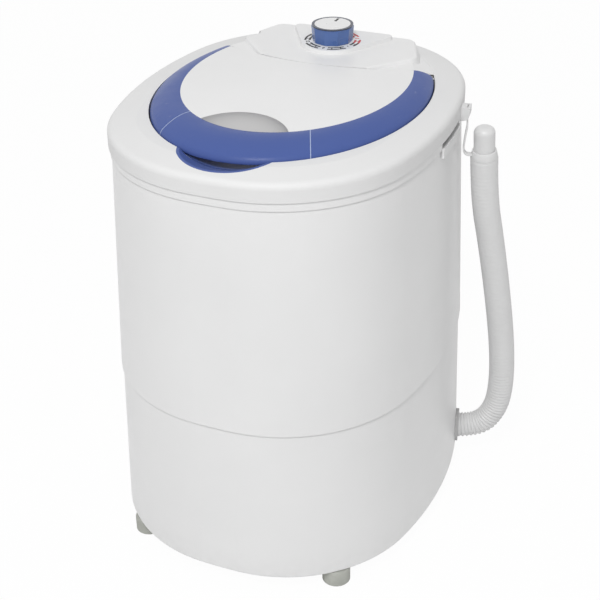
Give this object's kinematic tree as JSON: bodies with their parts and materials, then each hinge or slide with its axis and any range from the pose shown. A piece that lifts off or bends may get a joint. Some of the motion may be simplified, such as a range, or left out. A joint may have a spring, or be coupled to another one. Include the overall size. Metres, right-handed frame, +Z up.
{
  "type": "top load washing machine",
  "caption": "Portable top load washing machine: oval moulded cabinet, hinged domed lid with a handle bar over a scoop, dial timer, pulsator tub, belt drive and side drain hose.",
  "frame": {"origin": "centre of the oval plan on the floor, under the feet", "axes": "+Z up, front with the lid handle at -Y, dial at the rear, drain hose at +X"},
  "size_m": [0.4197, 0.4466, 0.532],
  "materials": {
    "shell_white": "smooth moulded, soft gloss",
    "trim_blue": "smooth moulded, gloss",
    "tub_white": "moulded, satin",
    "hose_grey": "soft ribbed plastic",
    "fitting_white": "moulded, satin",
    "foot_grey": "matt",
    "rubber_black": "matt",
    "grommet_grey": "matt",
    "steel": "ground",
    "motor_paint": "satin paint",
    "alloy": "cast",
    "bronze": "sintered",
    "timer_grey": "moulded",
    "cap_white": "gloss"
  },
  "bodies": {
    "housing": {"base": "shell_white", "cabinet": "shell_white", "top_cover": "shell_white", "control_panel": "shell_white", "tub_flange": "shell_white", "hand_grip_left": "shell_white", "hand_grip_right": "shell_white", "scoop_insert": "trim_blue", "wash_tub": "tub_white", "tub_pan": "tub_white", "overflow_cover": "tub_white", "water_inlet": "tub_white", "drain_hose": "hose_grey", "hose_nozzle": "fitting_white", "hose_hook": "fitting_white", "hose_strap": "fitting_white", "drain_pipe": "fitting_white", "foot_front_left": "foot_grey", "foot_front_right": "foot_grey", "foot_rear_left": "foot_grey", "foot_rear_right": "foot_grey", "drive_belt": "rubber_black", "shaft_seal": "rubber_black", "motor_mount_front_left": "rubber_black", "motor_mount_front_right": "rubber_black", "motor_mount_rear_left": "rubber_black", "motor_mount_rear_right": "rubber_black", "cord_gland": "rubber_black", "hose_grommet": "grommet_grey", "hinge_pin_left": "steel", "hinge_pin_right": "steel", "capacitor_clip": "steel", "motor_can": "motor_paint", "motor_plate": "motor_paint", "motor_end_bell": "alloy", "bearing_housing": "alloy", "run_capacitor": "alloy", "lower_bush": "bronze", "upper_bush": "bronze", "wash_timer": "timer_grey"},
    "lid": {"lid_panel": "shell_white", "lid_handle": "trim_blue", "trim_left": "trim_blue", "trim_right": "trim_blue"},
    "dial": {"timer_knob": "trim_blue", "knob_cap": "cap_white", "timer_shaft": "steel"},
    "wash_rotor": {"pulsator": "tub_white", "pulsator_screw": "steel", "pulsator_shaft": "steel", "driven_pulley": "alloy", "pulley_nut": "steel"},
    "motor_rotor": {"motor_shaft": "steel", "motor_pulley": "alloy"}
  },
  "joints": [
    {"name": "lid_hinge", "type": "hinge", "parent": "housing", "child": "lid", "pos_m": [0, 0.098, 0.4905], "axis": [-1, 0, 0], "range_deg": [0, 95]},
    {"name": "timer_turn", "type": "hinge", "parent": "housing", "child": "dial", "pos_m": [0, 0.118, 0.513], "axis": [0, 0, -1], "range_deg": [0, 300]},
    {"name": "pulsator_spin", "type": "hinge", "parent": "housing", "child": "wash_rotor", "pos_m": [0, -0.026, 0.224], "axis": [0, 0, 1], "continuous": true},
    {"name": "motor_spin", "type": "hinge", "parent": "housing", "child": "motor_rotor", "pos_m": [-0.06479, 0.09585, 0.128], "axis": [0, 0, 1], "continuous": true}
  ],
  "couplings": [
    {"joint": "motor_spin", "follows": "pulsator_spin", "ratio": 3.4762}
  ]
}
